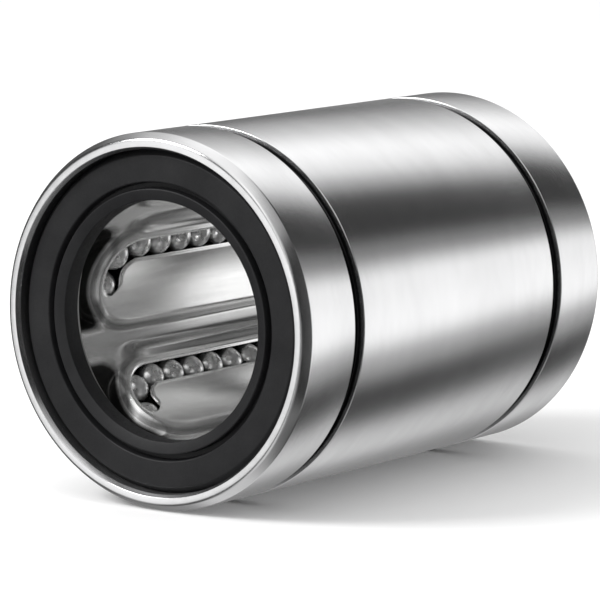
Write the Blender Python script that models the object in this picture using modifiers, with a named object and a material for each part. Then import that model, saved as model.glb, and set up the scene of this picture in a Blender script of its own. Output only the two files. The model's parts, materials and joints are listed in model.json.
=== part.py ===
"""Linear ball bushing for a 30 mm shaft, with six recirculating ball circuits.

Frame: the bore axis is Y, the front face looks towards -Y, +Z is up and the origin is the
middle of the bushing. Lengths are in metres.

Each circuit is a flat loop of balls: a load row that carries the shaft, a return row behind
the retainer, and a half-turn at each end. A row or a turn is one string of balls on a thin
core, so that it is one solid piece that can move.
"""
import math

import bmesh
import bpy
from mathutils import Matrix, Vector

MM = 0.001

# Driving dimensions
SHAFT_RADIUS = 15.0 * MM
BALL_RADIUS = 1.9845 * MM
SLEEVE_LENGTH = 64.0 * MM
SLEEVE_WALL = 1.981 * MM
SLEEVE_EDGE_RADIAL = 0.75 * MM
SLEEVE_EDGE_AXIAL = 1.2 * MM
RING_GROOVE_SPAN = 44.5 * MM
RING_GROOVE_WIDTH = 1.85 * MM
RING_GROOVE_DEPTH = 1.0 * MM

FIT_GAP = 0.3 * MM
TURN_ROOM = 0.1 * MM

SEAL_SEAT_SHOULDER = 0.131 * MM
SEAL_SEAT_CHAMFER = 0.15 * MM
SEAL_RECESS = 1.2 * MM
SEAL_THICKNESS = 3.1 * MM
SEAL_LIP_GRIP = 0.6 * MM
SEAL_GROOVE_OUTER_OFFSET = 1.5 * MM
SEAL_GROOVE_INNER_OFFSET = 0.9 * MM
SEAL_GROOVE_DEPTH = 0.45 * MM
SEAL_LIP_SLOPE = 0.4 * MM
SEAL_LIP_BACK_OFFSET = 0.5 * MM
SEAL_LIP_RELIEF = 0.3 * MM
SEAL_CORE_THICKNESS = 0.5 * MM
SEAL_CORE_OFFSET = 1.3 * MM
END_RING_THICKNESS = 0.6 * MM
END_RING_OFFSET = 0.8 * MM

RETAINER_CLEARANCE = 0.3 * MM
RETAINER_WALL = 0.6 * MM
RETAINER_BASE_OFFSET = 1.0 * MM
RETAINER_OUTER_OFFSET = 3.0 * MM
GUTTER_WALL = 0.5 * MM
GUTTER_FLOOR_RISE = 0.05 * MM

CIRCUIT_COUNT = 6
FIRST_CIRCUIT_ANGLE = math.radians(-6.5)
BALL_SPACE = 0.031 * MM
ROW_SPACING = 8.0 * MM
ROW_END_RUN = 2.5 * MM
TRACK_END_MARGIN = 2.4 * MM
LOOP_ADVANCE = -1.25 * MM
BALL_CORE_RADIUS = 0.3 * MM
RACEWAY_LEAD = 0.8 * MM

# Roundness of the solids
SLEEVE_SIDES = 48
RING_SIDES = 36
BALL_SIDES = 6
GROOVE_SIDES = 12
TURN_SEGMENTS = 6
TRACK_BEVEL_RESOLUTION = 3
CORE_BEVEL_RESOLUTION = 1
MERGE_DISTANCE = 0.00001

# Radii that follow from the driving dimensions
HALF_LENGTH = SLEEVE_LENGTH / 2
LOAD_ROW_RADIUS = SHAFT_RADIUS + BALL_RADIUS
RACEWAY_RADIUS = LOAD_ROW_RADIUS + BALL_RADIUS + FIT_GAP
CHANNEL_RADIUS = BALL_RADIUS + FIT_GAP
GUTTER_RADIUS = CHANNEL_RADIUS + GUTTER_WALL
RETAINER_BORE_RADIUS = SHAFT_RADIUS + RETAINER_CLEARANCE
RETAINER_BASE_RADIUS = SHAFT_RADIUS + RETAINER_BASE_OFFSET
RETAINER_OUTER_RADIUS = SHAFT_RADIUS + RETAINER_OUTER_OFFSET
RETURN_ROW_RADIUS = RETAINER_BORE_RADIUS + GUTTER_RADIUS + GUTTER_FLOOR_RISE
TURN_RELIEF_RADIUS = RETURN_ROW_RADIUS + CHANNEL_RADIUS + TURN_ROOM
SLEEVE_RADIUS = TURN_RELIEF_RADIUS + SLEEVE_WALL
SEAL_SEAT_RADIUS = TURN_RELIEF_RADIUS + SEAL_SEAT_SHOULDER
INSERT_RADIUS = SEAL_SEAT_RADIUS - FIT_GAP

# Depths from each end face: seal, its steel core, the end ring, then the retainer
SEAL_BACK = SEAL_RECESS + SEAL_THICKNESS
SEAL_CORE_FRONT = SEAL_BACK + FIT_GAP
SEAL_CORE_BACK = SEAL_CORE_FRONT + SEAL_CORE_THICKNESS
END_RING_FRONT = SEAL_CORE_BACK + FIT_GAP
END_RING_BACK = END_RING_FRONT + END_RING_THICKNESS
RETAINER_END = END_RING_BACK + FIT_GAP

# The ball track: its straight run is filled with as many balls as fit
BALL_PITCH = 2 * BALL_RADIUS + BALL_SPACE
TURN_RADIUS = ROW_SPACING / 2
TRACK_STRAIGHT_END = RETAINER_END + TRACK_END_MARGIN + GUTTER_RADIUS + TURN_RADIUS
TRACK_HALF_STRAIGHT = HALF_LENGTH - TRACK_STRAIGHT_END
ROW_BALL_COUNT = 1 + int((2 * (TRACK_HALF_STRAIGHT - ROW_END_RUN) + MERGE_DISTANCE) / BALL_PITCH)
ROW_END_GAP = TRACK_HALF_STRAIGHT - (ROW_BALL_COUNT - 1) * BALL_PITCH / 2
TURN_PATH = math.pi * TURN_RADIUS + 2 * ROW_END_GAP
TURN_BALL_COUNT = int(TURN_PATH / BALL_PITCH) - 1
RETURN_ANGLE_STEP = math.acos(
    (LOAD_ROW_RADIUS ** 2 + RETURN_ROW_RADIUS ** 2 - ROW_SPACING ** 2)
    / (2 * LOAD_ROW_RADIUS * RETURN_ROW_RADIUS)
)

SLEEVE_AXIS_TURN = Matrix.Rotation(-math.pi / 2, 4, "X")


def clear_scene():
    """Remove what a new scene starts with."""
    for obj in list(bpy.data.objects):
        bpy.data.objects.remove(obj, do_unlink=True)


def new_collection(name):
    collection = bpy.data.collections.new(name)
    bpy.context.scene.collection.children.link(collection)
    return collection


def new_material(name, colour, roughness, metallic):
    """A Principled material for one kind of piece."""
    material = bpy.data.materials.new(name)
    material.use_nodes = True
    shader = material.node_tree.nodes["Principled BSDF"]
    shader.inputs["Base Color"].default_value = (*colour, 1.0)
    shader.inputs["Roughness"].default_value = roughness
    shader.inputs["Metallic"].default_value = metallic
    return material


def add_object(name, mesh, collection, matrix=None, material=None):
    obj = bpy.data.objects.new(name, mesh)
    collection.objects.link(obj)
    obj.matrix_world = matrix or Matrix.Identity(4)
    if material is not None and not mesh.materials:
        mesh.materials.append(material)
    return obj


def add_cutter(name, mesh, collection):
    cutter = add_object(name, mesh, collection)
    cutter.hide_render = True
    cutter.display_type = "WIRE"
    return cutter


def profile_mesh(name, points, closed):
    """A mesh of edges through (radius, height) points in the XZ plane."""
    mesh = bpy.data.meshes.new(name)
    edges = [(i, i + 1) for i in range(len(points) - 1)]
    if closed:
        edges.append((len(points) - 1, 0))
    mesh.from_pydata([(radius, 0.0, height) for radius, height in points], edges, [])
    return mesh


def add_screw(obj, sides):
    """Turn the object's profile into a solid about its local Z axis."""
    screw = obj.modifiers.new("Turn", "SCREW")
    screw.axis = "Z"
    screw.angle = 2 * math.pi
    screw.steps = sides
    screw.render_steps = sides
    screw.use_merge_vertices = True
    screw.merge_threshold = MERGE_DISTANCE
    screw.use_smooth_shade = True


def add_boolean(obj, cutter, operation):
    boolean = obj.modifiers.new(cutter.name, "BOOLEAN")
    boolean.operation = operation
    boolean.solver = "EXACT"
    boolean.object = cutter


def mesh_from_curve(curve_object):
    """The curve's evaluated surface as a welded mesh; the curve itself is removed."""
    bpy.context.view_layer.update()
    evaluated = curve_object.evaluated_get(bpy.context.evaluated_depsgraph_get())
    mesh = bpy.data.meshes.new_from_object(evaluated)
    bm = bmesh.new()
    bm.from_mesh(mesh)
    bmesh.ops.remove_doubles(bm, verts=bm.verts, dist=MERGE_DISTANCE)
    bmesh.ops.recalc_face_normals(bm, faces=bm.faces)
    bm.to_mesh(mesh)
    bm.free()
    bpy.data.objects.remove(curve_object, do_unlink=True)
    return mesh


def tube_mesh(name, points, radius, cyclic, bevel_resolution, collection):
    """A round tube along a chain of points."""
    curve = bpy.data.curves.new(name, "CURVE")
    curve.dimensions = "3D"
    curve.bevel_depth = radius
    curve.bevel_resolution = bevel_resolution
    curve.use_fill_caps = True
    spline = curve.splines.new("POLY")
    spline.points.add(len(points) - 1)
    for target, point in zip(spline.points, points):
        target.co = (*point, 1.0)
    spline.use_cyclic_u = cyclic
    curve_object = bpy.data.objects.new(name, curve)
    collection.objects.link(curve_object)
    return mesh_from_curve(curve_object)


def radial(angle, radius):
    """A point in the XZ plane, with the angle counted from +Z towards +X."""
    return Vector((radius * math.sin(angle), 0.0, radius * math.cos(angle)))


class Circuit:
    """One ball loop: where its rows lie and the frame of its flat track.

    At rest the whole loop of balls stands LOOP_ADVANCE further along its track than in the
    even layout, so the load row shifts along +Y by it and the return row along -Y.
    """

    def __init__(self, index):
        angle = FIRST_CIRCUIT_ANGLE - index * 2 * math.pi / CIRCUIT_COUNT
        self.load = radial(angle, LOAD_ROW_RADIUS)
        self.back = radial(angle - RETURN_ANGLE_STEP, RETURN_ROW_RADIUS)
        across = (self.back - self.load).normalized()
        along = Vector((0.0, 1.0, 0.0))
        normal = across.cross(along)
        middle = (self.load + self.back) / 2
        axes = Matrix((across, along, normal)).transposed().to_4x4()
        self.track_frame = Matrix.Translation(middle) @ axes

    def turn_frame(self, end):
        """Frame on the turn's pivot axis; local +Y points away from the bushing's middle."""
        shift = Matrix.Translation((0.0, end * TRACK_HALF_STRAIGHT, 0.0))
        flip = Matrix.Rotation(0.0 if end > 0 else math.pi, 4, "Z")
        return self.track_frame @ shift @ flip


def arc_points(start, stop, segments):
    """Points on the turn's arc; the angle is counted from local +X towards +Y."""
    angles = [start + (stop - start) * i / segments for i in range(segments + 1)]
    return [Vector((TURN_RADIUS * math.cos(a), TURN_RADIUS * math.sin(a), 0.0)) for a in angles]


def track_points():
    """The closed loop of one circuit in its own flat frame."""
    shift = Vector((0.0, TRACK_HALF_STRAIGHT, 0.0))
    rear = [point + shift for point in arc_points(0.0, math.pi, TURN_SEGMENTS)]
    front = [point - shift for point in arc_points(math.pi, 2 * math.pi, TURN_SEGMENTS)]
    return rear + front


def track_form(name, radius, circuits, collection, cutters):
    """A solid tube along the tracks of all circuits, as one cutter."""
    loop = tube_mesh(name, track_points(), radius, True, TRACK_BEVEL_RESOLUTION, collection)
    bm = bmesh.new()
    for circuit in circuits:
        placed = loop.copy()
        placed.transform(circuit.track_frame)
        bm.from_mesh(placed)
        bpy.data.meshes.remove(placed)
    mesh = bpy.data.meshes.new(name)
    bm.to_mesh(mesh)
    bm.free()
    bpy.data.meshes.remove(loop)
    return add_cutter(name, mesh, cutters)


def cylinder_cutter(name, centres, radius, length, sides, cutters):
    """Cylinders along Y at each centre, as one cutter."""
    bm = bmesh.new()
    for centre in centres:
        bmesh.ops.create_cone(
            bm, cap_ends=True, segments=sides, radius1=radius, radius2=radius, depth=length,
            matrix=Matrix.Translation(centre) @ SLEEVE_AXIS_TURN,
        )
    mesh = bpy.data.meshes.new(name)
    bm.to_mesh(mesh)
    bm.free()
    return add_cutter(name, mesh, cutters)


def add_outer_cylinder(circuits, parts, cutters, material):
    """Hardened sleeve: ring grooves outside; seal seats, turn room and raceway inside."""
    face_radius = SLEEVE_RADIUS - SLEEVE_EDGE_RADIAL
    groove_floor = SLEEVE_RADIUS - RING_GROOVE_DEPTH
    groove_outer = RING_GROOVE_SPAN / 2
    groove_inner = groove_outer - RING_GROOVE_WIDTH
    raceway_end = TRACK_HALF_STRAIGHT - RACEWAY_LEAD
    upper_half = [
        (RACEWAY_RADIUS, raceway_end),
        (TURN_RELIEF_RADIUS, TRACK_HALF_STRAIGHT),
        (TURN_RELIEF_RADIUS, HALF_LENGTH - RETAINER_END),
        (SEAL_SEAT_RADIUS, HALF_LENGTH - RETAINER_END),
        (SEAL_SEAT_RADIUS, HALF_LENGTH - SEAL_SEAT_CHAMFER),
        (SEAL_SEAT_RADIUS + SEAL_SEAT_CHAMFER, HALF_LENGTH),
        (face_radius, HALF_LENGTH),
        (SLEEVE_RADIUS, HALF_LENGTH - SLEEVE_EDGE_AXIAL),
        (SLEEVE_RADIUS, groove_outer),
        (groove_floor, groove_outer),
        (groove_floor, groove_inner),
        (SLEEVE_RADIUS, groove_inner),
    ]
    lower_half = [(radius, -height) for radius, height in reversed(upper_half)]
    mesh = profile_mesh("outer_cylinder", upper_half + lower_half, closed=True)
    sleeve = add_object("outer_cylinder", mesh, parts, SLEEVE_AXIS_TURN, material)
    add_screw(sleeve, SLEEVE_SIDES)
    grooves = cylinder_cutter(
        "return_groove_cut", [circuit.back for circuit in circuits], CHANNEL_RADIUS,
        2 * TRACK_HALF_STRAIGHT + 2 * RACEWAY_LEAD, GROOVE_SIDES, cutters,
    )
    add_boolean(sleeve, grooves, "DIFFERENCE")


def add_retainer(circuits, parts, cutters, material):
    """Thin retainer: a tube with a gutter around each ball track, open along the load row."""
    half = HALF_LENGTH - RETAINER_END
    outer = RETAINER_BASE_RADIUS + RETAINER_WALL
    profile = [
        (outer, half), (outer, -half), (RETAINER_BASE_RADIUS, -half), (RETAINER_BASE_RADIUS, half),
    ]
    mesh = profile_mesh("ball_retainer", profile, closed=True)
    retainer = add_object("ball_retainer", mesh, parts, SLEEVE_AXIS_TURN, material)
    add_screw(retainer, SLEEVE_SIDES)
    gutters = track_form("gutter_form", GUTTER_RADIUS, circuits, parts, cutters)
    channels = track_form("ball_channel_cut", CHANNEL_RADIUS, circuits, parts, cutters)
    centre = [Vector((0.0, 0.0, 0.0))]
    bore = cylinder_cutter(
        "retainer_bore_cut", centre, RETAINER_BORE_RADIUS, SLEEVE_LENGTH, SLEEVE_SIDES, cutters,
    )
    envelope = cylinder_cutter(
        "retainer_envelope", centre, RETAINER_OUTER_RADIUS, SLEEVE_LENGTH, SLEEVE_SIDES, cutters,
    )
    add_boolean(retainer, gutters, "UNION")
    add_boolean(retainer, channels, "DIFFERENCE")
    add_boolean(retainer, bore, "DIFFERENCE")
    add_boolean(retainer, envelope, "INTERSECT")


def end_profile(points, end):
    """Place (radius, depth from the end face) points at one end of the bushing.

    The points run down the outer side for the rear end, so the front end reverses them.
    """
    placed = [(radius, end * (HALF_LENGTH - depth)) for radius, depth in points]
    return placed if end > 0 else placed[::-1]


def add_end_piece(name, points, end, parts, material):
    mesh = profile_mesh(name, end_profile(points, end), closed=True)
    piece = add_object(name, mesh, parts, SLEEVE_AXIS_TURN, material)
    add_screw(piece, RING_SIDES)


def washer_points(inner, outer, front, back):
    return [(outer, front), (outer, back), (inner, back), (inner, front)]


def seal_points():
    """Rubber ring with a flat face, a narrow groove and a wiper lip that grips the shaft."""
    lip_radius = SHAFT_RADIUS - SEAL_LIP_GRIP
    groove_outer = SHAFT_RADIUS + SEAL_GROOVE_OUTER_OFFSET
    groove_inner = SHAFT_RADIUS + SEAL_GROOVE_INNER_OFFSET
    groove_floor = SEAL_RECESS + SEAL_GROOVE_DEPTH
    return [
        (INSERT_RADIUS, SEAL_RECESS),
        (INSERT_RADIUS, SEAL_BACK),
        (SHAFT_RADIUS + SEAL_LIP_BACK_OFFSET, SEAL_BACK),
        (lip_radius, SEAL_BACK - SEAL_LIP_RELIEF),
        (lip_radius, SEAL_RECESS + SEAL_LIP_SLOPE),
        (groove_inner, SEAL_RECESS),
        (groove_inner, groove_floor),
        (groove_outer, groove_floor),
        (groove_outer, SEAL_RECESS),
    ]


def row_profile():
    """A string of balls as one profile: each ball is round, on a thin core."""
    half_row = (ROW_BALL_COUNT - 1) * BALL_PITCH / 2
    shoulder = BALL_RADIUS * math.sqrt(0.5)
    points = [(0.0, half_row + BALL_RADIUS)]
    for index in range(ROW_BALL_COUNT):
        centre = half_row - index * BALL_PITCH
        if index > 0:
            points.append((BALL_CORE_RADIUS, centre + BALL_PITCH / 2))
        points.append((shoulder, centre + shoulder))
        points.append((BALL_RADIUS, centre))
        points.append((shoulder, centre - shoulder))
    points.append((0.0, -half_row - BALL_RADIUS))
    return points


def turn_ball_angles():
    """Where the balls of a half-turn sit, spaced evenly between the last balls of the rows."""
    spacing = TURN_PATH / (TURN_BALL_COUNT + 1)
    return [((i + 1) * spacing - ROW_END_GAP) / TURN_RADIUS for i in range(TURN_BALL_COUNT)]


def turn_string_mesh(collection, cutters):
    """The balls of one half-turn, joined by their thin core."""
    angles = turn_ball_angles()
    core_points = arc_points(angles[0], angles[-1], 2 * (len(angles) - 1))
    core_mesh = tube_mesh("turn_core", core_points, BALL_CORE_RADIUS, False,
                          CORE_BEVEL_RESOLUTION, collection)
    core = add_object("turn_core", core_mesh, collection)
    bm = bmesh.new()
    for angle in angles:
        centre = Vector((TURN_RADIUS * math.cos(angle), TURN_RADIUS * math.sin(angle), 0.0))
        bmesh.ops.create_uvsphere(bm, u_segments=BALL_SIDES, v_segments=4, radius=BALL_RADIUS,
                                  matrix=Matrix.Translation(centre))
    ball_mesh = bpy.data.meshes.new("turn_balls")
    bm.to_mesh(ball_mesh)
    bm.free()
    balls = add_cutter("turn_balls", ball_mesh, cutters)
    add_boolean(core, balls, "UNION")
    bpy.context.view_layer.update()
    evaluated = core.evaluated_get(bpy.context.evaluated_depsgraph_get())
    mesh = bpy.data.meshes.new_from_object(evaluated)
    mesh.name = "turn_string"
    bpy.data.objects.remove(core, do_unlink=True)
    bpy.data.objects.remove(balls, do_unlink=True)
    return mesh


def add_ball_circuits(circuits, parts, cutters, material):
    """Four moving strings of balls for each circuit."""
    row_mesh = profile_mesh("row_profile", row_profile(), closed=False)
    turn_mesh = turn_string_mesh(parts, cutters)
    turned = Matrix.Rotation(-LOOP_ADVANCE / TURN_RADIUS, 4, "Z")
    for number, circuit in enumerate(circuits, start=1):
        advance = Vector((0.0, LOOP_ADVANCE, 0.0))
        rows = (("load_balls", circuit.load + advance), ("return_balls", circuit.back - advance))
        for name, place in rows:
            matrix = Matrix.Translation(place) @ SLEEVE_AXIS_TURN
            row = add_object(f"{name}_{number}", row_mesh, parts, matrix, material)
            add_screw(row, BALL_SIDES)
        for name, end in (("front_turn_balls", -1), ("rear_turn_balls", 1)):
            turn_frame = circuit.turn_frame(end) @ turned
            add_object(f"{name}_{number}", turn_mesh, parts, turn_frame, material)


def main():
    clear_scene()
    parts = new_collection("linear_ball_bushing")
    cutters = new_collection("cutters")
    ground_steel = new_material("ground_steel", (0.62, 0.62, 0.61), 0.28, 1.0)
    pressed_steel = new_material("pressed_steel", (0.66, 0.66, 0.65), 0.3, 1.0)
    ring_steel = new_material("ring_steel", (0.5, 0.5, 0.5), 0.4, 1.0)
    polished_steel = new_material("polished_steel", (0.75, 0.75, 0.75), 0.1, 1.0)
    rubber = new_material("rubber", (0.02, 0.02, 0.022), 0.6, 0.0)

    circuits = [Circuit(index) for index in range(CIRCUIT_COUNT)]
    add_outer_cylinder(circuits, parts, cutters, ground_steel)
    add_retainer(circuits, parts, cutters, pressed_steel)
    core_inner = SHAFT_RADIUS + SEAL_CORE_OFFSET
    ring_inner = SHAFT_RADIUS + END_RING_OFFSET
    core_points = washer_points(core_inner, INSERT_RADIUS, SEAL_CORE_FRONT, SEAL_CORE_BACK)
    ring_points = washer_points(ring_inner, INSERT_RADIUS, END_RING_FRONT, END_RING_BACK)
    for side, end in (("front", -1), ("rear", 1)):
        add_end_piece(f"seal_{side}", seal_points(), end, parts, rubber)
        add_end_piece(f"seal_core_{side}", core_points, end, parts, ring_steel)
        add_end_piece(f"end_ring_{side}", ring_points, end, parts, ring_steel)
    add_ball_circuits(circuits, parts, cutters, polished_steel)


main()
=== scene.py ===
import json
import math

import bmesh
import bpy
from mathutils import Matrix, Vector


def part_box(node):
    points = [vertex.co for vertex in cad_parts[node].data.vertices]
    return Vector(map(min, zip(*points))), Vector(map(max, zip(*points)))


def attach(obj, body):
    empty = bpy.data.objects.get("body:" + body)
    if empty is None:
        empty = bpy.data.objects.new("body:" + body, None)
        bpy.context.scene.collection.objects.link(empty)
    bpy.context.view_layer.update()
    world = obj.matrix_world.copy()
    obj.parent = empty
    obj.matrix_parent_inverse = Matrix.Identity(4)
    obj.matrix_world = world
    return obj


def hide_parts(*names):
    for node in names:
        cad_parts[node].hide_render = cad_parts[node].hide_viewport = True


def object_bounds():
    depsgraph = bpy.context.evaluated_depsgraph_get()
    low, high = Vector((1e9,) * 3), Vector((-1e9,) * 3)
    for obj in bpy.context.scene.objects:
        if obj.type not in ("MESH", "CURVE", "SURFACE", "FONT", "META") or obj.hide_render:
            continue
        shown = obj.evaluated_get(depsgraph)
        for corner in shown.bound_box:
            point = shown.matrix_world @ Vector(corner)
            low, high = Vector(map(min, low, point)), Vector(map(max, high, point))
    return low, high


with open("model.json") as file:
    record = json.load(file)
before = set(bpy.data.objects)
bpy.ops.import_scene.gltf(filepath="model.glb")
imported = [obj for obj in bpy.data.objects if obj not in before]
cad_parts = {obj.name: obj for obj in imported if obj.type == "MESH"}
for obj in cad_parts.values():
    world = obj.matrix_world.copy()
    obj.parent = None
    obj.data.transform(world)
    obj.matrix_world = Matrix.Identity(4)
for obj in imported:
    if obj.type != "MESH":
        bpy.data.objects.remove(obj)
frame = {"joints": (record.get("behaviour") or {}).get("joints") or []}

CAD_LOW, CAD_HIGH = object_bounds()

MM = 0.001
TAU = 2 * math.pi

# Sizes read from the frame
LENGTH = CAD_HIGH.y - CAD_LOW.y
HALF_LENGTH = LENGTH / 2
SLEEVE_RADIUS = (CAD_HIGH.x - CAD_LOW.x) / 2
JOINTS = {joint["name"]: joint for joint in frame["joints"]}
CIRCUIT_COUNT = sum(name.startswith("load_run_") for name in JOINTS)
HALF_STRAIGHT = JOINTS["rear_turn_run_1"]["pos_m"][1]

RETAINER_HALF_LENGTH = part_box("ball_retainer")[1].y
ROW_LOW, ROW_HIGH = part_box("load_balls_1")
LOOP_ADVANCE = (ROW_LOW.y + ROW_HIGH.y) / 2

# Sizes of the real pieces
SHAFT_RADIUS = 15.0 * MM
BALL_RADIUS = 1.9845 * MM
BALL_PITCH = 4.0 * MM
ROW_BALL_COUNT = 1 + round((ROW_HIGH.y - ROW_LOW.y - 2 * BALL_RADIUS) / BALL_PITCH)
TURN_BALL_COUNT = 3
TURN_RADIUS = 4.0 * MM
RACEWAY_RADIUS = SHAFT_RADIUS + 2 * BALL_RADIUS + 0.02 * MM
RACEWAY_RAMP = 0.8 * MM
RETURN_GROOVE_RADIUS = 2.2 * MM
TURN_RELIEF_RADIUS = 20.5 * MM
SEAL_SEAT_RADIUS = 20.5 * MM
RING_GROOVE_SPAN = 44.5 * MM
RING_GROOVE_WIDTH = 1.85 * MM
RING_GROOVE_DEPTH = 1.0 * MM

# Mesh detail
SLEEVE_SIDES, END_PIECE_SIDES = 480, 192
FILLET_SEGMENTS = 5
BALL_SEGMENTS = 32
SHARP_ANGLE = math.radians(35.0)

# Inner radii of the pressed retainer, and the sizes of its sheet and rolled edges
LIP_RADIUS = 15.1 * MM
TONGUE_RADIUS = 15.2 * MM
RIDGE_RADIUS = 15.45 * MM
COLLAR_RADIUS = 16.3 * MM
POCKET_RADIUS = 17.9 * MM
RETAINER_THICKNESS = 0.2 * MM
SHEET_EDGE_BEVEL, SHEET_EDGE_ANGLE = 0.05 * MM, math.radians(50)
ROLLED_WIDTH, ROLLED_EDGE = 0.45 * MM, 0.16 * MM
NOSE_WIDTH, NOSE_DEPTH = 0.5 * MM, 0.3 * MM
NOSE_ALONG = HALF_STRAIGHT - 0.2 * MM, HALF_STRAIGHT + 1.0 * MM
NOSE_CLEARANCE, NOSE_TURN = 0.15, math.radians(15)
ROLL_FADE = 0.55 * MM, 1.35 * MM

# The retainer's slot, and where the sheet drops away beside it
SLOT_HALF_WIDTH = 1.42 * MM
SLOT_END_TURN = math.radians(122.0)
LIP_FADE = SLOT_END_TURN - math.radians(20), SLOT_END_TURN + math.radians(25)
SECTOR_START = math.radians(-20.5)
LOOP_MARGIN = 4.2 * MM
RETURN_SIDE = -2.5 * MM, 3.2 * MM
LIP_FLANK = 0.35 * MM, 1.9 * MM
TONGUE_FLANK = 2.3 * MM, 4.8 * MM
RIDGE_RISE_START = 0.3 * MM
RIDGE_RISE_END = 2.6 * MM
RIDGE_FALL = 3.4 * MM, 5.5 * MM
RIDGE_ENDS = HALF_STRAIGHT - 1.5 * MM, HALF_STRAIGHT + 3.5 * MM
RIDGE_SIDE = -3.9 * MM, -2.0 * MM
POCKET_ALONG = HALF_STRAIGHT + 3.0 * MM, RETAINER_HALF_LENGTH - 2.0 * MM
POCKET_ACROSS = 4.5 * MM, 8.2 * MM

# Radii between which painted shade darkens the balls' sides, and the painted shade of the sheet,
# darker and lighter bands from the tongue's radius to the pocket's: (share of the way, share of
# painted shade)
BALL_PAINTED_SHADE = 15.75 * MM, 16.7 * MM
SHEET_PAINTED_SHADE = ((0.0, 0.0), (0.12, 0.1), (0.22, 0.55), (0.38, 0.45), (0.42, 0.05), (0.58, 1.0))
# Depths below the sleeve's surface over which the painted shade in the ring grooves fades in at
# the top and out at the bottom
GROOVE_SHADE_TOP = 0.42 * MM, 0.58 * MM
GROOVE_SHADE_BOTTOM = 1.1 * MM, 1.2 * MM


# ---------------------------------------------------------------- mesh helpers

def mesh_object(name, vertices, faces, material):
    """A smooth-shaded object whose steep edges stay sharp."""
    mesh = bpy.data.meshes.new(name)
    mesh.from_pydata(vertices, [], faces)
    mesh.materials.append(material)
    mesh.shade_smooth()
    mesh.set_sharp_from_angle(angle=SHARP_ANGLE)
    obj = bpy.data.objects.new(name, mesh)
    bpy.context.scene.collection.objects.link(obj)
    return obj


def rounded(corners):
    """A closed outline from (radius, y, fillet) corners, with each fillet as an arc."""
    outline = []
    count = len(corners)
    for i, (radius, y, fillet) in enumerate(corners):
        here = Vector((radius, y))
        before = Vector(corners[i - 1][:2]) - here
        after = Vector(corners[(i + 1) % count][:2]) - here
        if fillet <= 0:
            outline.append(tuple(here))
            continue
        half_angle = before.angle(after) / 2
        trim = min(fillet / math.tan(half_angle), 0.48 * before.length, 0.48 * after.length)
        arc_radius = trim * math.tan(half_angle)
        centre = here + (before.normalized() + after.normalized()).normalized() * (
            arc_radius / math.sin(half_angle))
        start = here + before.normalized() * trim - centre
        end = here + after.normalized() * trim - centre
        sweep = start.angle_signed(end)
        for step in range(FILLET_SEGMENTS + 1):
            turned = start.copy()
            turned.rotate(Matrix.Rotation(-sweep * step / FILLET_SEGMENTS, 2))
            outline.append(tuple(centre + turned))
    return outline


def revolve(name, outline, material, sides, radius_at=None):
    """Turn a closed (radius, y) outline about the Y axis; radius_at may vary it by angle."""
    vertices, faces = [], []
    count = len(outline)
    for side in range(sides):
        angle = TAU * side / sides
        for radius, y in outline:
            here = radius_at(radius, y, angle) if radius_at else radius
            vertices.append((here * math.sin(angle), y, here * math.cos(angle)))
    for side in range(sides):
        this, following = side * count, (side + 1) % sides * count
        for i in range(count):
            j = (i + 1) % count
            faces.append((this + i, this + j, following + j, following + i))
    obj = mesh_object(name, vertices, faces, material)
    face_outwards(obj)
    return obj


def face_outwards(obj):
    """Point every face's normal out of the closed mesh."""
    bm = bmesh.new()
    bm.from_mesh(obj.data)
    bmesh.ops.recalc_face_normals(bm, faces=bm.faces)
    bm.to_mesh(obj.data)
    bm.free()


def smoothstep(low, high, value):
    t = min(max((value - low) / (high - low), 0.0), 1.0)
    return t * t * (3 - 2 * t)


def mix(a, b, weight):
    return a + (b - a) * weight


# ------------------------------------------------------------------- materials

class NodeTree:
    """Short calls for building a node tree."""

    def __init__(self, owner):
        owner.use_nodes = True
        self.tree = owner.node_tree

    def add(self, kind, *sources, **settings):
        """A node with its settings, and its first inputs linked or set in order."""
        node = self.tree.nodes.new(kind)
        for key, value in settings.items():
            setattr(node, key, value)
        for socket, source in zip(node.inputs, sources):
            if isinstance(source, bpy.types.NodeSocket):
                self.link(source, socket)
            elif source is not None:
                socket.default_value = source
        return node

    def link(self, source, target):
        self.tree.links.new(source, target)

    def math(self, operation, *sources):
        return self.add("ShaderNodeMath", *sources, operation=operation).outputs[0]

    def remap(self, source, from_low, from_high, low, high, curve="LINEAR"):
        node = self.add("ShaderNodeMapRange", source, from_low, from_high, low, high,
                        interpolation_type=curve)
        return node.outputs[0]

    def greys(self, source, stops, curve="LINEAR"):
        """A ramp of grey levels, given in order as (position, level)."""
        ramp = self.add("ShaderNodeValToRGB", source)
        ramp.color_ramp.interpolation = curve
        elements = ramp.color_ramp.elements
        elements[0].position, elements[1].position = stops[0][0], stops[-1][0]
        for position, _ in stops[1:-1]:
            elements.new(position)
        for element, (_, level) in zip(elements, stops):
            element.color = (level, level, level, 1)
        return ramp.outputs["Color"]


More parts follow.
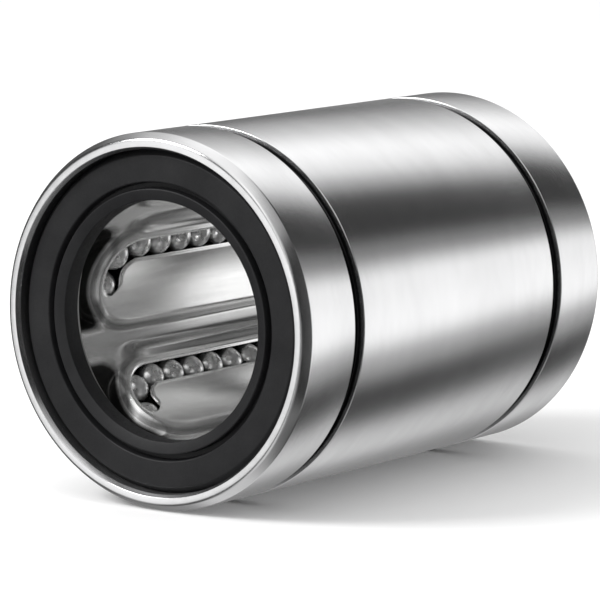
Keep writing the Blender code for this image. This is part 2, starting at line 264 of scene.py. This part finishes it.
class Nodes(NodeTree):
    """The node tree of one new material."""

    def __init__(self, name):
        self.material = bpy.data.materials.new(name)
        super().__init__(self.material)
        self.shader = self.tree.nodes["Principled BSDF"]

    def value(self, **inputs):
        for key, value in inputs.items():
            self.shader.inputs[key.replace("_", " ")].default_value = value

    def stretched_noise(self, stretch, scale, detail=4.0, roughness=0.6):
        """Noise in the object's own coordinates, stretched along the axes."""
        place = self.add("ShaderNodeTexCoord")
        mapping = self.add("ShaderNodeMapping")
        mapping.inputs["Scale"].default_value = stretch
        noise = self.add("ShaderNodeTexNoise")
        noise.inputs["Scale"].default_value = scale
        noise.inputs["Detail"].default_value = detail
        noise.inputs["Roughness"].default_value = roughness
        self.link(place.outputs["Object"], mapping.inputs["Vector"])
        self.link(mapping.outputs["Vector"], noise.inputs["Vector"])
        return noise.outputs["Fac"]

    def bore_coordinates(self):
        """Distance from the bore axis, and distance along it from the middle."""
        place = self.add("ShaderNodeTexCoord").outputs["Object"]
        split = self.add("ShaderNodeSeparateXYZ", place).outputs
        flat = self.add("ShaderNodeCombineXYZ", split["X"], None, split["Z"])
        radius = self.add("ShaderNodeVectorMath", flat.outputs[0], operation="LENGTH")
        return radius.outputs["Value"], self.math("ABSOLUTE", split["Y"])

    def vary(self, source, low, high):
        """A noise's usual range, made to run from low to high."""
        return self.remap(source, 0.3, 0.7, low, high)

    def colours(self, source, dark, light):
        """Colours from dark to light over a noise's usual range."""
        ramp = self.add("ShaderNodeValToRGB", source)
        for element, position, colour in zip(ramp.color_ramp.elements, (0.3, 0.7), (dark, light)):
            element.position = position
            element.color = (*colour, 1)
        return ramp.outputs["Color"]

    def blend(self, weight, source, colour):
        """Base colour that goes from the source to one colour by the weight."""
        blend = self.add("ShaderNodeMix", weight, data_type="RGBA")
        self.link(source, blend.inputs[6])
        blend.inputs[7].default_value = (*colour, 1)
        self.link(blend.outputs[2], self.shader.inputs["Base Color"])

    def bump(self, sources, distance):
        """Stack height maps given as (source, strength)."""
        normal = None
        for source, strength in sources:
            bump = self.add("ShaderNodeBump")
            bump.inputs["Strength"].default_value = strength
            bump.inputs["Distance"].default_value = distance
            self.link(source, bump.inputs["Height"])
            if normal is not None:
                self.link(normal, bump.inputs["Normal"])
            normal = bump.outputs["Normal"]
        self.link(normal, self.shader.inputs["Normal"])

    def radial_tangent(self):
        tangent = self.add("ShaderNodeTangent", direction_type="RADIAL", axis="Y")
        self.link(tangent.outputs["Tangent"], self.shader.inputs["Tangent"])


def groove_shade_mask(nodes):
    """Painted shade: 1 on the floors and lower walls of the two ring grooves, 0 elsewhere on the
    sleeve.
    """
    radius, along = nodes.bore_coordinates()
    top_start, top_full = (SLEEVE_RADIUS - depth for depth in GROOVE_SHADE_TOP)
    bottom_full, bottom_end = (SLEEVE_RADIUS - depth for depth in GROOVE_SHADE_BOTTOM)
    below = nodes.remap(radius, top_full, top_start, 1.0, 0.0)
    above = nodes.remap(radius, bottom_end, bottom_full, 0.0, 1.0)
    inside = nodes.remap(along, RING_GROOVE_SPAN / 2, RING_GROOVE_SPAN / 2 + 1.0 * MM, 1.0, 0.0)
    return nodes.math("MULTIPLY", nodes.math("MULTIPLY", below, above), inside)


def ground_steel():
    """Bearing steel ground round its axis, with painted shade on the floors and lower walls of
    the ring grooves.
    """
    nodes = Nodes("ground_bearing_steel")
    nodes.value(Metallic=1.0, Anisotropic=0.75, Anisotropic_Rotation=0.25)
    nodes.radial_tangent()
    rings = nodes.stretched_noise((0.5, 14.0, 0.5), 900.0, 6.0, 0.7)
    broad = nodes.stretched_noise((1.0, 3.0, 1.0), 60.0)
    groove = groove_shade_mask(nodes)
    polished = nodes.colours(broad, (0.66, 0.66, 0.665), (0.72, 0.72, 0.725))
    # painted shade: the ring grooves' floors and lower walls are coloured near black
    nodes.blend(groove, polished, (0.06, 0.06, 0.062))
    nodes.link(nodes.vary(rings, 0.18, 0.26), nodes.shader.inputs["Roughness"])
    nodes.bump([(rings, 0.04), (broad, 0.02)], 0.0001)
    return nodes.material


def pressed_steel():
    """Bright sheet steel with faint draw marks, and painted shade that darkens it with depth,
    most in the pockets round the turns.
    """
    nodes = Nodes("pressed_retainer_steel")
    nodes.value(Metallic=0.82)
    marks = nodes.stretched_noise((6.0, 0.3, 6.0), 260.0, 1.5, 0.5)
    cloud = nodes.stretched_noise((1.0, 1.0, 1.0), 240.0)
    bright = nodes.colours(cloud, (0.90, 0.90, 0.895), (0.96, 0.96, 0.955))
    radius, _ = nodes.bore_coordinates()
    share = nodes.remap(radius, TONGUE_RADIUS, POCKET_RADIUS, 0.0, 1.0)
    # painted shade: the sheet is coloured darker in bands the further it lies from the bore axis
    nodes.blend(nodes.greys(share, SHEET_PAINTED_SHADE), bright, (0.025, 0.025, 0.024))
    nodes.link(nodes.vary(marks, 0.21, 0.27), nodes.shader.inputs["Roughness"])
    nodes.bump([(marks, 0.02), (cloud, 0.04)], 0.0001)
    return nodes.material


def ring_steel():
    """Plain steel strip of the washers and end rings."""
    nodes = Nodes("plain_ring_steel")
    nodes.value(Metallic=1.0)
    grain = nodes.stretched_noise((1.0, 1.0, 1.0), 900.0, 6.0)
    nodes.link(nodes.colours(grain, (0.34, 0.34, 0.34), (0.46, 0.46, 0.455)),
               nodes.shader.inputs["Base Color"])
    nodes.link(nodes.vary(grain, 0.32, 0.5), nodes.shader.inputs["Roughness"])
    nodes.bump([(grain, 0.15)], 0.0001)
    return nodes.material


def polished_steel():
    """Bearing balls: polished caps where they touch the shaft, painted shade down their sides
    below the sheet.
    """
    nodes = Nodes("polished_ball_steel")
    nodes.value(Metallic=0.85)
    haze = nodes.stretched_noise((1.0, 1.0, 1.0), 500.0)
    radius, _ = nodes.bore_coordinates()
    ball_shade = nodes.remap(radius, *BALL_PAINTED_SHADE, 0.0, 1.0)
    polished = nodes.colours(haze, (0.86, 0.86, 0.855), (0.93, 0.93, 0.93))
    # painted shade: the balls' sides beyond the sheet's level are coloured near black
    nodes.blend(ball_shade, polished, (0.035, 0.034, 0.032))
    nodes.link(nodes.vary(haze, 0.24, 0.32), nodes.shader.inputs["Roughness"])
    return nodes.material


def seal_rubber():
    """Matt black nitrile rubber with fine moulding grain."""
    nodes = Nodes("black_seal_rubber")
    nodes.value(Specular_IOR_Level=0.28)
    grain = nodes.stretched_noise((1.0, 1.0, 1.0), 2600.0, 8.0, 0.7)
    cloud = nodes.stretched_noise((1.0, 1.0, 1.0), 180.0)
    nodes.link(nodes.colours(cloud, (0.008, 0.008, 0.009), (0.014, 0.014, 0.015)),
               nodes.shader.inputs["Base Color"])
    nodes.link(nodes.vary(grain, 0.42, 0.6), nodes.shader.inputs["Roughness"])
    nodes.bump([(grain, 0.25), (cloud, 0.1)], 0.0001)
    return nodes.material


def floor_material():
    """Near-white matt floor."""
    nodes = Nodes("pale_floor")
    cloud = nodes.stretched_noise((1.0, 1.0, 1.0), 9.0)
    nodes.link(nodes.colours(cloud, (0.94, 0.94, 0.94), (0.96, 0.96, 0.96)),
               nodes.shader.inputs["Base Color"])
    nodes.value(Roughness=0.8, Specular_IOR_Level=0.1)
    return nodes.material


# ------------------------------------------------------------------ the sleeve

def row_line(kind, number):
    """Where a row's line of balls crosses the middle plane of the bushing."""
    low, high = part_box(f"{kind}_balls_{number}")
    return Vector(((low.x + high.x) / 2, 0.0, (low.z + high.z) / 2))


def angle_of(point):
    """Angle about the bore axis, from +Z towards +X."""
    return math.atan2(point.x, point.z)


def add_sleeve(material):
    """Ground sleeve with ring grooves outside, and raceway and return grooves inside."""
    edge_radial, edge_axial, edge_round = 0.75 * MM, 1.2 * MM, 0.5 * MM
    mouth_radial, mouth_axial = 0.32 * MM, 0.6 * MM
    groove_outer = RING_GROOVE_SPAN / 2
    groove_inner = groove_outer - RING_GROOVE_WIDTH
    groove_floor = SLEEVE_RADIUS - RING_GROOVE_DEPTH
    inset = 0.12 * MM
    rear = [
        (RACEWAY_RADIUS, HALF_STRAIGHT - RACEWAY_RAMP, 0),
        (TURN_RELIEF_RADIUS, HALF_STRAIGHT, 0),
        (TURN_RELIEF_RADIUS, RETAINER_HALF_LENGTH, 0),
        (SEAL_SEAT_RADIUS, RETAINER_HALF_LENGTH, 0),
        (SEAL_SEAT_RADIUS, HALF_LENGTH - mouth_axial, 0.1 * MM),
        (SEAL_SEAT_RADIUS + mouth_radial, HALF_LENGTH, 0.08 * MM),
        (SLEEVE_RADIUS - edge_radial, HALF_LENGTH, edge_round),
        (SLEEVE_RADIUS, HALF_LENGTH - edge_axial, edge_round),
        (SLEEVE_RADIUS, groove_outer, inset),
        (groove_floor, groove_outer, inset),
        (groove_floor, groove_inner, inset),
        (SLEEVE_RADIUS, groove_inner, inset),
    ]
    front = [(radius, -y, fillet) for radius, y, fillet in reversed(rear)]
    returns = [row_line("return", n + 1) for n in range(CIRCUIT_COUNT)]

    def with_return_grooves(radius, _y, angle):
        if radius > RACEWAY_RADIUS + 0.01 * MM:
            return radius
        for centre in returns:
            reach = Vector((centre.x, centre.z)).length
            aside = reach * math.sin(angle - angle_of(centre))
            if math.cos(angle - angle_of(centre)) > 0 and abs(aside) < RETURN_GROOVE_RADIUS:
                depth = math.sqrt(RETURN_GROOVE_RADIUS ** 2 - aside ** 2)
                along = reach * math.cos(angle - angle_of(centre))
                radius = max(radius, along + depth)
        return radius

    sleeve = revolve("sleeve_shell", rounded(rear + front), material, SLEEVE_SIDES,
                     with_return_grooves)
    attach(sleeve, "bushing")
    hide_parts("outer_cylinder")


# ------------------------------------------------------- seals, cores and rings

def mirrored(corners, end):
    """Corners given as (radius, depth from the end face, fillet), placed at one end."""
    return [(radius, end * (HALF_LENGTH - depth), fillet) for radius, depth, fillet in corners]


def add_end_pieces(rubber, steel):
    """Rubber seal with a ring groove and a lip, core washer and end ring, at each end."""
    outer = SEAL_SEAT_RADIUS - 0.03 * MM
    seal = [
        (19.75 * MM, 1.2 * MM, 0.3 * MM),
        (outer, 2.2 * MM, 0.2 * MM),
        (outer, 4.3 * MM, 0),
        (15.5 * MM, 4.3 * MM, 0.1 * MM),
        (14.4 * MM, 4.0 * MM, 0.1 * MM),
        (14.4 * MM, 1.55 * MM, 0.12 * MM),
        (15.8 * MM, 1.1 * MM, 0.15 * MM),
        (15.85 * MM, 2.3 * MM, 0.05 * MM),
        (16.45 * MM, 2.3 * MM, 0.05 * MM),
        (16.6 * MM, 1.2 * MM, 0.2 * MM),
    ]
    core = [
        (outer, 4.6 * MM, 0),
        (outer, 5.1 * MM, 0),
        (16.3 * MM, 5.1 * MM, 0.08 * MM),
        (16.3 * MM, 4.6 * MM, 0.08 * MM),
    ]
    ring = [
        (outer, 5.4 * MM, 0),
        (outer, 6.0 * MM, 0),
        (15.8 * MM, 6.0 * MM, 0.12 * MM),
        (15.8 * MM, 5.4 * MM, 0.12 * MM),
    ]
    pieces = (("seal", seal, rubber, "rubber"), ("seal_core", core, steel, "ring_steel"),
              ("end_ring", ring, steel, "ring_steel"))
    for side, end in (("front", -1), ("rear", 1)):
        for name, corners, material, slot in pieces:
            outline = rounded(mirrored(corners, end))
            piece = revolve(f"{name}_{side}_form", outline, material, END_PIECE_SIDES)
            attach(piece, "bushing")
            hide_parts(f"{name}_{side}")


# --------------------------------------------------------------- the retainer

class Track:
    """The flat plane of one ball loop: x runs from the load row to the return row, y along."""

    def __init__(self, number):
        load, back = row_line("load", number), row_line("return", number)
        self.load_angle = angle_of(load)
        self.middle = (load + back) / 2
        self.across = (back - load).normalized()

    def angle(self, x):
        """Angle about the bore axis, measured from the load row towards the return row."""
        turned = self.load_angle - angle_of(self.middle + self.across * x)
        return (turned + math.pi) % TAU - math.pi

    def x_at(self, target):
        low, high = -20.0 * MM, 20.0 * MM
        for _ in range(40):
            centre = (low + high) / 2
            low, high = (centre, high) if self.angle(centre) < target else (low, centre)
        return low


def slot_half_width(turned):
    """Half-width of the slot where the path has turned by an angle from the load side."""
    left = TURN_RADIUS * (SLOT_END_TURN - turned)
    if left >= SLOT_HALF_WIDTH:
        return SLOT_HALF_WIDTH
    return math.sqrt(SLOT_HALF_WIDTH ** 2 - (SLOT_HALF_WIDTH - left) ** 2) if left > 0 else 0.0


def lip_reach(turned):
    """How far the flat lip beside the slot goes out; it draws in smoothly past the slot's end."""
    return SLOT_HALF_WIDTH * (1 - smoothstep(*LIP_FADE, turned))


def loop_stations():
    """Stations round the loop: (x, y, outward direction, angle turned), load side first."""
    straight_count, corner_count, open_count, closed_count = 44, 12, 36, 6
    corner, far_corner = math.pi / 4, 3 * math.pi / 4
    turn = [corner * i / corner_count for i in range(corner_count)]
    turn += [mix(corner, SLOT_END_TURN, 1 - (1 - i / open_count) ** 1.7)
             for i in range(open_count)]
    turn += [mix(SLOT_END_TURN, far_corner, i / closed_count) for i in range(closed_count)]
    turn += [mix(far_corner, math.pi, i / corner_count) for i in range(corner_count)]
    stations = []
    for i in range(straight_count):
        y = mix(-HALF_STRAIGHT, HALF_STRAIGHT, i / straight_count)
        stations.append((-TURN_RADIUS, y, (-1.0, 0.0), 0.0))
    for angle in turn:
        out = (-math.cos(angle), math.sin(angle))
        stations.append((out[0] * TURN_RADIUS, HALF_STRAIGHT + out[1] * TURN_RADIUS, out, angle))
    for i in range(straight_count):
        y = mix(HALF_STRAIGHT, -HALF_STRAIGHT, i / straight_count)
        stations.append((TURN_RADIUS, y, (1.0, 0.0), math.pi))
    for angle in [math.pi] + turn[:0:-1]:
        out = (-math.cos(angle), -math.sin(angle))
        stations.append((out[0] * TURN_RADIUS, out[1] * TURN_RADIUS - HALF_STRAIGHT, out, angle))
    return stations


def roll_share(half_width):
    """The rolled edge fades away where the slot closes."""
    return smoothstep(*ROLL_FADE, half_width)


def tongue_radius(y, inside, half_width):
    """Inner radius of the tongue, from the distance inside its edge; its ends are rounder."""
    nose = smoothstep(*NOSE_ALONG, abs(y))
    side_roll = ROLLED_EDGE * (1 - smoothstep(0, ROLLED_WIDTH, inside))
    left = 1 - min(inside / NOSE_WIDTH, 1.0)
    nose_roll = NOSE_DEPTH * (1 - math.sqrt(1 - left * left))
    return TONGUE_RADIUS + mix(side_roll, nose_roll, nose) * roll_share(half_width)


def lip_radius(x, y, offset, turned, station_x):
    """Inner radius of the retainer outside the slot, from the offset off the loop's line."""
    half_width, reach = slot_half_width(turned), lip_reach(turned)
    return_side = smoothstep(*RETURN_SIDE, station_x)
    edge = mix(LIP_RADIUS, TONGUE_RADIUS, return_side)
    flank_start = mix(reach + LIP_FLANK[0], TONGUE_FLANK[0], return_side)
    flank_end = mix(reach + LIP_FLANK[1], TONGUE_FLANK[1], return_side)
    pocket = smoothstep(*POCKET_ALONG, abs(y)) * (1 - smoothstep(*POCKET_ACROSS, abs(x)))
    floor = mix(COLLAR_RADIUS, POCKET_RADIUS, pocket)
    collar = mix(edge, floor, smoothstep(flank_start, flank_end, offset))
    ridge_rise = smoothstep(reach + RIDGE_RISE_START, RIDGE_RISE_END, offset)
    ridge = mix(edge, RIDGE_RADIUS, ridge_rise)
    ridge = mix(ridge, COLLAR_RADIUS, smoothstep(*RIDGE_FALL, offset))
    ends = 1 - smoothstep(*RIDGE_ENDS, abs(y))
    beside = 1 - smoothstep(*RIDGE_SIDE, station_x)
    rolled = ROLLED_EDGE * (1 - smoothstep(0, ROLLED_WIDTH, offset - half_width))
    return mix(collar, ridge, ends * beside) + rolled * roll_share(half_width)


def sector_vertices(track):
    """Rows of points for one circuit's sector: island to slot, then slot to sector edge."""
    x_start = track.x_at(SECTOR_START)
    x_end = track.x_at(SECTOR_START + TAU / CIRCUIT_COUNT)
    inner_steps, outer_steps, far_steps = 14, 18, 8
    stations = loop_stations()

    def place(x, y, radius):
        direction = track.middle + track.across * x
        direction = direction.normalized() * radius
        return Vector((direction.x, y, direction.z))

    def edge_target(x, y, out):
        """Where the loop's margin line goes to on the sector's rectangular edge."""
        if out[1] == 0.0:
            return (x_start if out[0] < 0 else x_end), y
        end = math.copysign(1.0, out[1])
        turned = math.atan2(abs(out[1]), -out[0])
        if turned < math.pi / 4:
            return x_start, end * mix(HALF_STRAIGHT, RETAINER_HALF_LENGTH, turned / (math.pi / 4))
        if turned > 3 * math.pi / 4:
            left = (math.pi - turned) / (math.pi / 4)
            return x_end, end * mix(HALF_STRAIGHT, RETAINER_HALF_LENGTH, left)
        return mix(x_start, x_end, (turned / (math.pi / 4) - 1) / 2), end * RETAINER_HALF_LENGTH

    inner, outer = [], []
    for x, y, out, turned in stations:
        half_width = slot_half_width(turned)
        nose = smoothstep(0.0, NOSE_TURN, turned)
        tongue_edge = half_width * (1 + NOSE_CLEARANCE * nose)
        inner_row, outer_row = [], []
        for i in range(inner_steps + 1):
            share = (i / inner_steps) ** 1.4
            inside = share * (TURN_RADIUS - tongue_edge)
            px = x - out[0] * (tongue_edge + inside)
            py = y - out[1] * (tongue_edge + inside)
            inner_row.append(place(px, py, tongue_radius(py, inside, half_width)))
        for i in range(outer_steps + 1):
            offset = mix(half_width, LOOP_MARGIN, (i / outer_steps) ** 1.4)
            px, py = x + out[0] * offset, y + out[1] * offset
            outer_row.append(place(px, py, lip_radius(px, py, offset, turned, x)))
        start_x, start_y = x + out[0] * LOOP_MARGIN, y + out[1] * LOOP_MARGIN
        end_x, end_y = edge_target(x, y, out)
        for i in range(1, far_steps + 1):
            px, py = mix(start_x, end_x, i / far_steps), mix(start_y, end_y, i / far_steps)
            offset = LOOP_MARGIN + math.hypot(px - start_x, py - start_y)
            outer_row.append(place(px, py, lip_radius(px, py, offset, turned, x)))
        inner.append(inner_row)
        outer.append(outer_row)
    return inner, outer


def add_retainer(material):
    """Thin pressed retainer with a J-ended slot over each load row and a raised tongue."""
    bm = bmesh.new()
    for number in range(1, CIRCUIT_COUNT + 1):
        for rows in sector_vertices(Track(number)):
            grid = [[bm.verts.new(point) for point in row] for row in rows]
            for i, row in enumerate(grid):
                following = grid[(i + 1) % len(grid)]
                for j in range(len(row) - 1):
                    bm.faces.new((row[j], row[j + 1], following[j + 1], following[j]))
    bmesh.ops.remove_doubles(bm, verts=bm.verts, dist=0.002 * MM)
    bmesh.ops.recalc_face_normals(bm, faces=bm.faces)
    bm.faces.ensure_lookup_table()
    sample = bm.faces[0]
    centre = sample.calc_center_median()
    if sample.normal.dot(Vector((centre.x, 0.0, centre.z))) > 0:
        bmesh.ops.reverse_faces(bm, faces=bm.faces)
    mesh = bpy.data.meshes.new("retainer_sheet")
    bm.to_mesh(mesh)
    bm.free()
    mesh.materials.append(material)
    mesh.shade_smooth()
    retainer = bpy.data.objects.new("retainer_sheet", mesh)
    bpy.context.scene.collection.objects.link(retainer)
    sheet = retainer.modifiers.new("Sheet", "SOLIDIFY")
    sheet.thickness = RETAINER_THICKNESS
    sheet.offset = -1.0
    sheet.use_even_offset = True
    edge = retainer.modifiers.new("Edge", "BEVEL")
    edge.width = SHEET_EDGE_BEVEL
    edge.segments = 2
    edge.limit_method = "ANGLE"
    edge.angle_limit = SHEET_EDGE_ANGLE
    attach(retainer, "bushing")
    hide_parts("ball_retainer")


# ------------------------------------------------------------------- the balls

def ball_form():
    """Points and faces of one ball about its centre, always in the same order."""
    sides, rings = BALL_SEGMENTS, BALL_SEGMENTS // 2
    points = [Vector((0.0, 0.0, BALL_RADIUS))]
    for ring in range(1, rings):
        down = math.pi * ring / rings
        for side in range(sides):
            around = TAU * side / sides
            points.append(BALL_RADIUS * Vector((math.sin(down) * math.cos(around),
                                                math.sin(down) * math.sin(around),
                                                math.cos(down))))
    points.append(Vector((0.0, 0.0, -BALL_RADIUS)))
    faces = []
    for side in range(sides):
        this, beside = 1 + side, 1 + (side + 1) % sides
        faces.append((0, this, beside))
        for _ in range(rings - 2):
            faces.append((this, this + sides, beside + sides, beside))
            this, beside = this + sides, beside + sides
        faces.append((this, len(points) - 1, beside))
    return points, faces


def ball_group(name, centres, material, body):
    """Separate round balls at the given centres, moving as one body."""
    points, form = ball_form()
    vertices = [centre + point for centre in centres for point in points]
    faces = [tuple(i * len(points) + corner for corner in face)
             for i in range(len(centres)) for face in form]
    balls = mesh_object(name, vertices, faces, material)
    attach(balls, body)
    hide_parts(body)


def row_centres(kind, number):
    """Balls of one straight row; load and return rows are shifted opposite ways along it."""
    half_row = (ROW_BALL_COUNT - 1) * BALL_PITCH / 2
    shift = LOOP_ADVANCE if kind == "load" else -LOOP_ADVANCE
    first = row_line(kind, number) + Vector((0, shift - half_row, 0))
    return [first + Vector((0, i * BALL_PITCH, 0)) for i in range(ROW_BALL_COUNT)]


def turn_centres(number, end):
    """Balls of one half-turn; all of them stand a little further on round the loop."""
    track = Track(number)
    row_end_gap = HALF_STRAIGHT - (ROW_BALL_COUNT - 1) * BALL_PITCH / 2
    spacing = (math.pi * TURN_RADIUS + 2 * row_end_gap) / (TURN_BALL_COUNT + 1)
    centres = []
    for i in range(TURN_BALL_COUNT):
        angle = ((i + 1) * spacing - row_end_gap + end * LOOP_ADVANCE) / TURN_RADIUS
        aside = track.across * (-TURN_RADIUS * math.cos(angle))
        along = Vector((0, end * (HALF_STRAIGHT + TURN_RADIUS * math.sin(angle)), 0))
        centres.append(track.middle + aside + along)
    return centres


def add_balls(material):
    for number in range(1, CIRCUIT_COUNT + 1):
        groups = (
            ("load_balls", row_centres("load", number)),
            ("return_balls", row_centres("return", number)),
            ("front_turn_balls", turn_centres(number, -1)),
            ("rear_turn_balls", turn_centres(number, 1)),
        )
        for body, centres in groups:
            ball_group(f"{body}_{number}_polished", centres, material, f"{body}_{number}")


# ------------------------------------------------- floor, light and the camera

CAMERA_AZIMUTH = math.radians(36.0)
CAMERA_ELEVATION = math.radians(8.15)
CAMERA_DISTANCE = 526.4 * MM
CAMERA_ASIDE = -1.35 * MM
CAMERA_RISE = -0.93 * MM
CAMERA_LENS, CAMERA_SENSOR = 255.3, 36.0
CAMERA_NEAR, CAMERA_FAR = 0.01, 20.0
FLOOR_REACH = 3.0
LIGHT_PLACE, LIGHT_SIZE, LIGHT_POWER = (-0.45, -0.5, 0.55), (0.35, 0.35), 5.0


def add_floor():
    """Wide floor just under the bushing, kept out of its reflections."""
    floor = mesh_object(
        "floor",
        [(x * FLOOR_REACH, y * FLOOR_REACH, CAD_LOW.z)
         for x, y in ((-1, -1), (1, -1), (1, 1), (-1, 1))],
        [(0, 1, 2, 3)], floor_material(),
    )
    floor.visible_glossy = False


# What the steel sees round the bushing's axis: (degrees from +Z towards +X, brightness)
STUDIO_BANDS = (
    (-180, 0.78), (-165, 0.85), (-150, 0.33), (-132, 0.25), (-100, 0.25), (-80, 0.09),
    (-66, 0.10), (-54, 0.42), (-40, 0.68), (-14, 1.50), (4, 1.15), (16, 0.45), (26, 0.03),
    (48, 0.03), (60, 0.27), (78, 1.25), (108, 1.42), (124, 0.55), (144, 0.06), (157, 0.08),
    (180, 0.78),
)
# Where the strips seen behind the bushing take over from those in front, by how far a direction
# points along +Y, and where the black card at each side begins, by how far it points sideways
# and along +Y
REAR_SHARE = -0.4, 0.2
CARD_LEVEL = 0.08
CARD_ACROSS = 0.62, 0.80
CARD_ALONG = 0.1, 0.4


def studio_bands(studio, across, up):
    """Brightness of the strips round the bushing's axis, by the angle from up to across."""
    angle = studio.math("ARCTAN2", across, up)
    turn = studio.remap(angle, -math.pi, math.pi, 0.0, 1.0)
    stops = [((degrees + 180) / 360, level / 2) for degrees, level in STUDIO_BANDS]
    return studio.math("MULTIPLY", studio.greys(turn, stops, "EASE"), 2.0)


def add_world():
    """White studio whose reflections have dark strips and a black card at each side."""
    world = bpy.data.worlds.new("studio")
    bpy.context.scene.world = world
    studio = NodeTree(world)
    direction = studio.add("ShaderNodeTexCoord").outputs["Generated"]
    across, along, up = studio.add("ShaderNodeSeparateXYZ", direction).outputs
    rear = studio_bands(studio, across, up)
    front = studio_bands(studio, studio.math("MULTIPLY", across, -1.0), up)
    share = studio.remap(along, *REAR_SHARE, 0.0, 1.0, "SMOOTHSTEP")
    level = studio.add("ShaderNodeMix", share, None, front, rear, data_type="FLOAT").outputs[0]
    sideways = studio.math("ABSOLUTE", across)
    card = studio.remap(along, *CARD_ALONG, CARD_LEVEL, 1.0, "SMOOTHSTEP")
    cards = studio.remap(sideways, *CARD_ACROSS, 1.0, card, "SMOOTHSTEP")
    reflected = studio.add("ShaderNodeBackground", studio.math("MULTIPLY", level, cards), 1.0)
    backdrop = studio.add("ShaderNodeBackground", (1.0, 1.0, 1.0, 1.0), 1.0)
    glossy = studio.add("ShaderNodeLightPath").outputs["Is Glossy Ray"]
    join = studio.add("ShaderNodeMixShader", glossy, backdrop.outputs[0], reflected.outputs[0])
    studio.link(join.outputs[0], studio.tree.nodes["World Output"].inputs["Surface"])


def add_light(name, position, target, size, power):
    light = bpy.data.lights.new(name, "AREA")
    light.shape = "RECTANGLE"
    light.size, light.size_y = size
    light.energy = power
    lamp = bpy.data.objects.new(name, light)
    lamp.location = position
    direction = Vector(target) - Vector(position)
    lamp.rotation_euler = direction.to_track_quat("-Z", "Y").to_euler()
    bpy.context.scene.collection.objects.link(lamp)


def add_camera():
    """Camera where the photo's stood, to the right of the front and a little above."""
    camera = bpy.data.objects.new("camera", bpy.data.cameras.new("camera"))
    camera.data.lens = CAMERA_LENS
    camera.data.sensor_width = CAMERA_SENSOR
    camera.data.clip_start, camera.data.clip_end = CAMERA_NEAR, CAMERA_FAR
    back = Vector((math.sin(CAMERA_AZIMUTH) * math.cos(CAMERA_ELEVATION),
                   -math.cos(CAMERA_AZIMUTH) * math.cos(CAMERA_ELEVATION),
                   math.sin(CAMERA_ELEVATION)))
    turned = (-back).to_track_quat("-Z", "Y")
    centre = (CAD_LOW + CAD_HIGH) / 2
    aim = centre + turned @ Vector((CAMERA_ASIDE, CAMERA_RISE, 0.0))
    camera.rotation_mode = "QUATERNION"
    camera.rotation_quaternion = turned
    camera.location = aim + back * CAMERA_DISTANCE
    bpy.context.scene.collection.objects.link(camera)
    bpy.context.scene.camera = camera


def main():
    add_camera()
    add_floor()
    add_world()
    add_light("upper_left_soft", LIGHT_PLACE, (0, 0, 0), LIGHT_SIZE, LIGHT_POWER)
    add_sleeve(ground_steel())
    add_end_pieces(seal_rubber(), ring_steel())
    add_retainer(pressed_steel())
    add_balls(polished_steel())
    bpy.context.scene.view_settings.view_transform = "Standard"


main()
